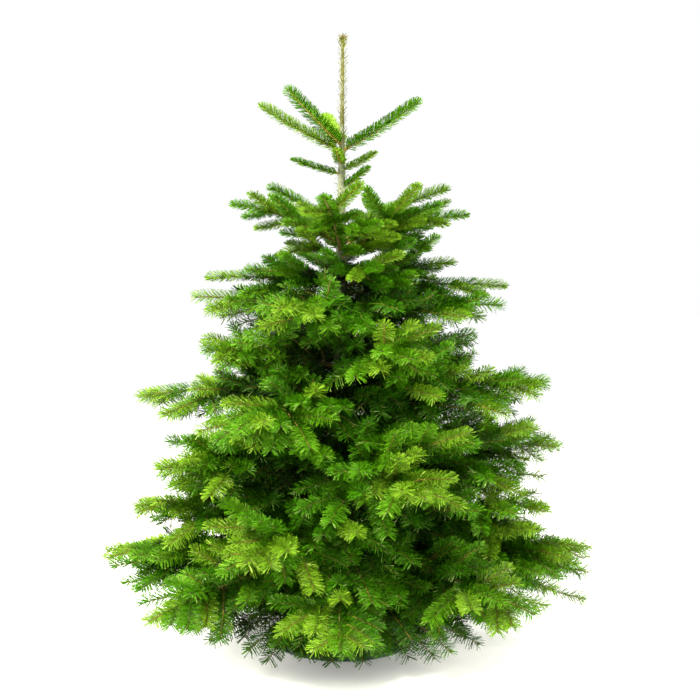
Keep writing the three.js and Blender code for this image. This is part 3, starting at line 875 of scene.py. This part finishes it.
def trunk_needles(low, high, step, lean, length):
    """Sparse needles straight from the trunk or the leader, on all sides of it."""
    count = int((high - low) / step)
    height = low + (high - low) * (np.arange(count) + RANDOM.rand(count)) / count
    turn = np.arange(count) * GOLDEN
    out = np.stack([np.cos(turn), np.sin(turn), 0 * turn], -1)
    centre = np.array([trunk_centre(z) for z in height])
    roots = centre + out * (trunk_radius(height) * 0.85)[:, None]
    lean = radians(lean) + RANDOM.normal(0, 0.16, count)
    way = UP * np.cos(lean)[:, None] + out * np.sin(lean)[:, None] + RANDOM.normal(0, 0.08, (count, 3))
    facing = out + RANDOM.normal(0, 0.2, (count, 3))
    size = length * (1 + RANDOM.uniform(-0.25, 0.15, count))
    width = np.full(count, 0.9 * NEEDLE_WIDTH)
    return roots, way, facing, np.stack([width, size, width], -1) * MM


# Wood

WOOD_SIDES = {1: 4, 2: 3, 3: 3}  # by order
WOOD_STEP = {1: 34, 2: 40, 3: 60}
TWIG_TIP_GIRTH = 1.15
BOUGH_TIP_GIRTH = 1.6
TAPER = 0.8  # a power of the way along: the girth falls a little faster near the root


def twig_girth(twig, t):
    """A twig's radius along its length."""
    tip = TWIG_TIP_GIRTH if twig.order else BOUGH_TIP_GIRTH
    return twig.girth + (min(tip, twig.girth) - twig.girth) * np.asarray(t) ** TAPER


def twig_lines(twigs):
    """The lines of twigs, with the girth at each of their points."""
    places, girths, edges, count = [], [], [], 0
    for twig in twigs:
        steps = max(2, round(twig.length / WOOD_STEP[twig.order]))
        t = np.linspace(0, 1, steps + 1)
        places.append(twig.axis.at(t))
        girths.append(twig_girth(twig, t) * MM)
        edges += [(count + i, count + i + 1) for i in range(steps)]
        count += steps + 1
    return np.concatenate(places), np.concatenate(girths), edges


def trunk_radius(height):
    heights, radii = zip(*TRUNK_GIRTH)
    return np.interp(height, heights, radii)


BOUGH_SIDES = 7
BOUGH_STEP = 9
ROOT_SWELL = 0.55  # how much thicker a bough is where it leaves the trunk
ROOT_SWELL_LENGTH = 26
SCALE_RING = 0.1  # how far the rings of old bud scales stand out, over the bough's girth
ROUGHNESS = 0.045  # of its skin, over the girth


def bough_mesh(boughs):
    """Boughs with the rings of old bud scales, a swelling at their root and a rough skin.

    The top tiers' boughs get the mesh's second bark, and the others its first.
    """
    places, faces, barks = [], [], []
    for bough in boughs:
        rings = int(bough.length / BOUGH_STEP)
        t = np.linspace(0.02, 1, rings)
        place, along, side, normal = bough.axis.frame(t)
        turn = np.arange(BOUGH_SIDES) * 2 * pi / BOUGH_SIDES
        girth = twig_girth(bough, t)
        girth = girth * (1 + ROOT_SWELL * np.exp(-t * bough.length / ROOT_SWELL_LENGTH))
        years = np.abs((t * bough.length / SPRAY_LENGTH) % 1 - 0.5) > 0.46
        rough = RANDOM.normal(0, ROUGHNESS, (rings, BOUGH_SIDES))
        radius = girth[:, None] * (1 + rough + SCALE_RING * years[:, None])
        ring = side[:, None] * np.cos(turn)[:, None] - normal[:, None] * np.sin(turn)[:, None]
        start = sum(len(p) for p in places)
        places.append((place[:, None] + ring * radius[..., None]).reshape(-1, 3))
        faces += [[start + i for i in face] for face in skin_faces(rings, BOUGH_SIDES)]
        barks += [int(bough.tier in TOP_TIERS)] * (len(faces) - len(barks))
    mesh = mesh_of("boughs", np.concatenate(places), faces)
    mesh.polygons.foreach_set("material_index", barks)
    return smoothed(mesh)


# Trunk

TRUNK_SIDES = 44
TRUNK_STEP = 4.5
COLLAR = 0.42  # how far the bark swells round a bough, over the bough's own girth
COLLAR_WIDTH = 1.5
COLLAR_HEIGHT = 1.9
BLISTERS = 260  # of resin, in the lower two thirds of the bark
BLISTERS_FROM = 20  # above the cut
BLISTERS_RANGE = 1100
BLISTER_WIDTH = 3.6


def trunk_mesh(boughs):
    """The trunk's skin: branch collars, resin blisters and a fine unevenness, closed by the sawn end."""
    heights = np.append(np.arange(CUT_HEIGHT, TREE_TOP, TRUNK_STEP), TREE_TOP)
    turn = np.arange(TRUNK_SIDES) * 2 * pi / TRUNK_SIDES
    radius = trunk_radius(heights)[:, None] * np.ones(TRUNK_SIDES)

    def swell(azimuth, height, amount, across, tall):
        near = np.abs(heights - height) < 3 * tall
        off = (turn - azimuth + pi) % (2 * pi) - pi
        apart = (off * trunk_radius(height) / across) ** 2 + ((heights[near, None] - height) / tall) ** 2
        radius[near] += amount * np.exp(-apart)

    for bough in boughs:
        azimuth = np.arctan2(*(bough.axis.tip - bough.axis.root)[1::-1])
        start = bough.axis.root[2]
        amount = COLLAR * bough.girth
        swell(azimuth, start, amount, COLLAR_WIDTH * bough.girth, COLLAR_HEIGHT * bough.girth)
    for _ in range(BLISTERS):
        height = CUT_HEIGHT + BLISTERS_FROM + RANDOM.rand() * BLISTERS_RANGE
        azimuth = 2 * pi * RANDOM.rand()
        swell(azimuth, height, 0.3 + 0.5 * RANDOM.rand(), BLISTER_WIDTH, 2.6 + 2 * RANDOM.rand())
    # Three shallow ridges that wind up the trunk, and five shallower ones that run straight
    flutes = 0.018 * np.sin(3 * turn + 0.004 * heights[:, None]) + 0.012 * np.sin(5 * turn + 1.3)
    radius = radius * (1 + flutes * (heights[:, None] < LEADER_FOOT)) + RANDOM.normal(0, 0.07, radius.shape)
    centre = np.array([trunk_centre(z) for z in heights])
    ring = np.stack([np.cos(turn), np.sin(turn), 0 * turn], -1)
    places = centre[:, None] + ring * radius[..., None]
    places[0, :, 2] = CUT_HEIGHT
    mesh = mesh_of("trunk_bark", places.reshape(-1, 3), skin_faces(len(heights), TRUNK_SIDES))
    mesh.materials.append(bark_material())
    mesh.materials.append(end_grain_material())
    mesh.polygons[len(mesh.polygons) - 2].material_index = 1
    return smoothed(mesh)


# Buds

BUD_POINTS = [(0, -0.1, 0), (1, 0.35, 0), (0, 0.35, 1), (-1, 0.35, 0), (0, 0.35, -1), (0, 1, 0)]
bud_shape = mesh_of(
    "bud", np.array(BUD_POINTS) / MM,
    faces=[(0, 1, 2), (0, 2, 3), (0, 3, 4), (0, 4, 1), (1, 5, 2), (2, 5, 3), (3, 5, 4), (4, 5, 1)],
)
bud_shape.shade_smooth()
SEEN_BUDS = 0.6  # twigs that end nearer the trunk than this, over the crown's reach, get no bud
OPEN_BUDS = 0.8  # a twig that reaches this far out bears side buds too
TIP_BUD = np.array([1.9, 6.0])  # radius and length
SIDE_BUD = np.array([1.3, 4.4])
LEADER_BUD = (5, 13)
LEADER_SIDE_BUD = (4.6, 15)
LEADER_SIDE_BUDS = 6
BUD_OUT = 0.75  # how far side buds point aside, for each step ahead


def bud_points(twigs):
    """A closing bud on each twig's tip, with two beside it where the twig ends in the open."""
    roots, ways, sizes = [], [], []

    def seat(root, way, radius, length):
        roots.append(root)
        ways.append(way)
        sizes.append((radius, length, radius))

    for twig in twigs:
        if openness(twig.axis.tip) < SEEN_BUDS:
            continue
        tip, along, side, normal = (part[0] for part in twig.axis.frame(np.array([1.0])))
        grown = 1.15 - 0.1 * twig.order
        seat(tip - along, along, *(grown * TIP_BUD))
        if openness(tip) > OPEN_BUDS:
            for turn in (-1, 1):
                way = along + turn * side * (BUD_OUT + jitter(0.2)) + normal * jitter(0.3)
                seat(tip - along * 2.4, way, *(grown * SIDE_BUD))
    top = trunk_centre(TREE_TOP - LEADER_BUD[1])
    for count in range(LEADER_SIDE_BUDS):
        turn = count * 2 * pi / LEADER_SIDE_BUDS
        out = np.array([cos(turn), sin(turn), 0])
        seat(top + out * 4 - UP * 4, out * BUD_OUT + UP, *LEADER_SIDE_BUD)
    seat(top, UP, *LEADER_BUD)
    return np.array(roots), np.array(ways), np.array(sizes) * MM


# Stand

STAND_STEPS = 96
TOOL_STEPS = 40
CUP = 66  # its outer radius, and RIM the foot's
CUP_WALL = 6
CUP_TOP = 137
CUP_FLOOR = 32
RIM = 190
BOSS_RADIUS = 11
BOSS_REACH = 12
BOSS_EDGE = 1.5
SCREW_HEIGHT = 114
SCREW_RADIUS = 5
SCREW_CLEAR = 0.3
SCREW_AZIMUTHS = [90, 210, 330]


def rounded(corners):
    """A profile's corners (radius, height, rounding), each rounded by an arc of a few points."""
    made = []
    for i, (r, z, rounding) in enumerate(corners):
        here = np.array([r, z], float)
        if not rounding:
            made.append(here)
            continue
        before = np.array(corners[i - 1][:2]) - here
        after = np.array(corners[(i + 1) % len(corners)][:2]) - here
        start = here + unit(before) * rounding
        end = here + unit(after) * rounding
        for t in np.linspace(0, 1, 6):
            made.append(start * (1 - t) ** 2 + here * 2 * t * (1 - t) + end * t * t)
    return made


def turned_mesh(name, profile, sides):
    """A closed body turned about Z from a profile that runs up the outside, from the axis to the axis."""
    inner = profile[1:-1]
    turn = np.arange(sides) * 2 * pi / sides
    ring = np.stack([np.cos(turn), np.sin(turn)], -1)
    places = [np.append(ring * r, np.full((sides, 1), z), 1) for r, z in inner]
    return mesh_of(name, np.concatenate(places), skin_faces(len(inner), sides))


def laid_along_x(mesh, height, azimuth):
    """Lays a mesh turned about Z along the way out from the trunk, at a height above the floor."""
    turned = Matrix.Rotation(radians(azimuth), 4, "Z") @ Matrix.Translation((0, 0, height * MM))
    mesh.transform(turned @ Matrix.Rotation(pi / 2, 4, "Y"))
    return mesh


def stand_mesh():
    """The stand: a foot that rises to its cup, with a drilled boss for each clamp screw."""
    corners = [
        (0, 0, 0), (RIM - 5, 0, 3), (RIM, 4, 3), (RIM, 12, 2.5), (RIM - 8, 17, 6), (RIM - 62, 24, 20),
        (CUP + 20, 36, 11), (CUP + 6, 52, 8), (CUP, 72, 10), (CUP, CUP_TOP - 8, 1.5),
        (CUP + 4, CUP_TOP - 4, 2), (CUP + 3, CUP_TOP, 1.2), (CUP - CUP_WALL, CUP_TOP, 1.5),
        (CUP - CUP_WALL, CUP_FLOOR, 5), (0, CUP_FLOOR, 0),
    ]
    body = in_scene("stand_body", turned_mesh("stand_body", rounded(corners), STAND_STEPS))
    tools = []
    for azimuth in SCREW_AZIMUTHS:
        end = CUP + BOSS_REACH
        boss = [
            (0, CUP - 3), (BOSS_RADIUS, CUP - 3), (BOSS_RADIUS, end - BOSS_EDGE),
            (BOSS_RADIUS - BOSS_EDGE, end), (0, end),
        ]
        hole_radius = SCREW_RADIUS + SCREW_CLEAR
        hole = [(0, CUP - 20), (hole_radius, CUP - 20), (hole_radius, end + 20), (0, end + 20)]
        for profile, operation in ((boss, "UNION"), (hole, "DIFFERENCE")):
            turned = turned_mesh("tool", profile, TOOL_STEPS)
            tool = in_scene("tool", laid_along_x(turned, SCREW_HEIGHT, azimuth))
            tools.append(tool)
            joining = body.modifiers.new(operation, "BOOLEAN")
            joining.object, joining.operation, joining.solver = tool, operation, "EXACT"
    evaluated = body.evaluated_get(bpy.context.evaluated_depsgraph_get())
    made = bpy.data.meshes.new_from_object(evaluated)
    for spent in tools + [body]:
        bpy.data.objects.remove(spent)
    made.name = "water_stand"
    return smoothed(made, 32)


PAD_RADIUS = 12
PAD_THICKNESS = 5
HANDLE = 60
HANDLE_RADIUS = 4
HANDLE_OUT = 25  # from the boss to the crossbar
HUB_LENGTH = 14
THREAD_PITCH = 2.6
THREAD_DEPTH = 0.55
THREAD_STEPS = 5  # rings to a turn
THREAD_SIDES = 12
PAD_STEPS = 48
HANDLE_STEPS = 24


def screw_mesh(number, azimuth):
    """A clamp screw: its pad, a shank with a real thread, a hub and a crossbar with round ends."""
    pad_foot = trunk_centre(SCREW_HEIGHT - PAD_RADIUS)
    offset = pad_foot[0] * cos(radians(azimuth)) + pad_foot[1] * sin(radians(azimuth))
    start = trunk_radius(SCREW_HEIGHT - PAD_RADIUS) + offset + SCREW_CLEAR
    cross = CUP + BOSS_REACH + HANDLE_OUT
    end = cross + 5  # the shank ends inside the hub

    def rod(radius, low, high, low_edge, high_edge):
        return rounded([(0, low, 0), (radius, low, low_edge), (radius, high, high_edge), (0, high, 0)])

    pad = rod(PAD_RADIUS, start, start + PAD_THICKNESS, 0.8, 1.2)
    hub = rod(1.9 * SCREW_RADIUS, cross - HUB_LENGTH / 2, cross + HUB_LENGTH / 2, 1, 1.6)
    bar = rod(HANDLE_RADIUS, -HANDLE / 2, HANDLE / 2, 2, 2)
    rings = int((end - start) / THREAD_PITCH * THREAD_STEPS)
    length = np.linspace(start + 1, end - 2, rings)[:, None]
    turn = np.arange(THREAD_SIDES) * 2 * pi / THREAD_SIDES
    wave = np.abs(((length / THREAD_PITCH - turn / (2 * pi)) % 1) - 0.5) * 2
    radius = SCREW_RADIUS - THREAD_DEPTH * wave
    shank = np.stack([radius * np.cos(turn), radius * np.sin(turn), length + 0 * turn], -1)
    bodies = [
        turned_mesh("pad", pad, PAD_STEPS), turned_mesh("hub", hub, PAD_STEPS),
        mesh_of("shank", shank.reshape(-1, 3), skin_faces(rings, THREAD_SIDES)),
    ]
    handle = turned_mesh("bar", bar, HANDLE_STEPS)
    handle.transform(Matrix.Translation((0, 0, cross * MM)) @ Matrix.Rotation(pi / 2, 4, "X"))
    joined = bmesh.new()
    for body in bodies + [handle]:
        joined.from_mesh(body)
    made = bpy.data.meshes.new(f"threaded_clamp_screw_{number}")
    joined.to_mesh(made)
    joined.free()
    return smoothed(laid_along_x(made, SCREW_HEIGHT, azimuth), 35)


# The tree, put together

twigs = grow_tree()
boughs = [twig for twig in twigs if twig.order == 0]
copies = seated_copies_tree()
wood = wood_tree()

piece("trunk_bark", trunk_mesh(boughs), "bark", "trunk")

old_bark = twig_material("fir_bough_bark", young="7E6E3A", old="66582F")
young_bark = twig_material("fir_side_twig_bark", young="8E7A2C", old="6C5A24")
shoot_bark = twig_material("fir_shoot_bark", young="787828", old="585A20")
limbs = bough_mesh(boughs)
for bark in (old_bark, young_bark):
    limbs.materials.append(bark)
piece("boughs", limbs, "bark", *LIMBS, *FOLIAGE)

for name, orders, bark in (("side_twigs", (1,), young_bark), ("shoots", (2, 3), shoot_bark)):
    places, girths, edges = twig_lines([twig for twig in twigs if twig.order in orders])
    lines = mesh_of(name + "_lines", places, edges=edges, girth=girths)
    grown = grown_mesh(name, wood, lines, {"Sides": WOOD_SIDES[orders[0]], "Material": bark})
    grown.shade_smooth()
    piece(name, grown, "bark", *FOLIAGE)

needle = bpy.data.objects.new("needle_shape", needle_shape)
sprays = sorted((s for twig in twigs for s in sprays_of(twig)), key=lambda s: s.freshness_and_painted_light)
batches = [needle_points(spray) for spray in sprays]
leader_batches = [
    trunk_needles(LEADER_FOOT + 12, TREE_TOP - 24, step=1.4, lean=40, length=15),
    trunk_needles(TREE_TOP - 40, TREE_TOP - 14, step=0.8, lean=40, length=15),
]
trunk_batches = [
    trunk_needles(1090, LEADER_FOOT - 6, step=1.6, lean=46, length=16),
    trunk_needles(900, 1060, step=2.4, lean=52, length=16),
]

# The sprays are sorted by freshness with their painted light and shade, and each green takes about an equal
# number of their needles
counted = np.cumsum([len(batch[0]) for batch in batches])
per_green = counted[-1] / len(NEEDLE_GREENS) + 1


def needle_piece(name, batches, green, *nodes):
    """Puts needles of one green in the scene, each seated on its root, as one piece."""
    roots, ways, facings, sizes = (np.concatenate(column) for column in zip(*batches))
    points = mesh_of(name + "_roots", roots, along=ways, facing=facings, size=sizes)
    stuff = needle_material(f"waxed_fir_{name}", green)
    piece(name, grown_mesh(name, copies, points, {"Shape": needle, "Material": stuff}), "needles", *nodes)


for shade, green in enumerate(NEEDLE_GREENS):
    own = [batch for batch, last in zip(batches, counted) if int((last - 1) / per_green) == shade]
    if shade == len(NEEDLE_GREENS) - 1:
        own += trunk_batches
    needle_piece(f"needles_{shade + 1}", own, green, *FOLIAGE)
needle_piece("leader_needles", leader_batches, LEADER_GREEN, *FOLIAGE)

bud = bpy.data.objects.new("bud_shape", bud_shape)
roots, ways, sizes = bud_points(twigs)
points = mesh_of("bud_roots", roots, along=ways, facing=np.roll(ways, 1, axis=1), size=sizes)
buds = grown_mesh("buds", copies, points, {"Shape": bud, "Material": bud_material()})
piece("buds", buds, "bark", *FOLIAGE)
for shape in (needle, bud):
    bpy.data.objects.remove(shape)

stand = stand_mesh()
stand.materials.clear()
stand.materials.append(stand_material())
piece("water_stand", stand, "stand_plastic", "stand_base")
plated = screw_material()
for number, azimuth in enumerate(SCREW_AZIMUTHS, 1):
    screw = screw_mesh(number, azimuth)
    screw.materials.append(plated)
    piece(screw.name, screw, "screw_steel", f"clamp_screw_{number}")


# Floor and light

FLOOR_HALF = 40000
floor_mesh = mesh_of(
    "studio_floor", [(x * FLOOR_HALF, y * FLOOR_HALF, 0) for x, y in ((-1, -1), (1, -1), (1, 1), (-1, 1))],
    faces=[(0, 1, 2, 3)],
)
floor_mesh.materials.append(floor_material())
floor = in_scene("studio_floor", floor_mesh)
floor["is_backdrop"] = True


def soft_light(name, place, aim, size, watts, colour="FFFFFF"):
    """A round lamp that points at the tree's middle, at the height of its aim."""
    data = bpy.data.lights.new(name, "AREA")
    data.shape, data.size, data.energy, data.color = "DISK", size, watts, linear(colour)[:3]
    made = in_scene(name, data)
    made.location = place
    made.rotation_euler = (Vector((0, 0, aim)) - Vector(place)).to_track_quat("-Z", "Y").to_euler()


soft_light("key", (-1.0, -2.2, 4.0), aim=0.7, size=1.1, watts=395, colour="FFF8E6")
soft_light("left", (-3.4, -0.6, 1.5), aim=0.6, size=1.8, watts=270, colour="FFFAF0")
soft_light("right", (3.4, -0.6, 1.3), aim=0.6, size=1.8, watts=210, colour="FFFAF0")
soft_light("top", (0.3, 0.4, 4.2), aim=0.8, size=2.2, watts=60)

world = bpy.data.worlds.new("studio")
world.use_nodes = True
world.node_tree.nodes["Background"].inputs["Color"].default_value = (1, 1, 1, 1)
world.node_tree.nodes["Background"].inputs["Strength"].default_value = 1.0
bpy.context.scene.world = world
bpy.context.scene.view_settings.view_transform = "Standard"

boxes = {"solids": solid_box, "scene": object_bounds()}
{name: [list(corner) for corner in box] for name, box in boxes.items()}
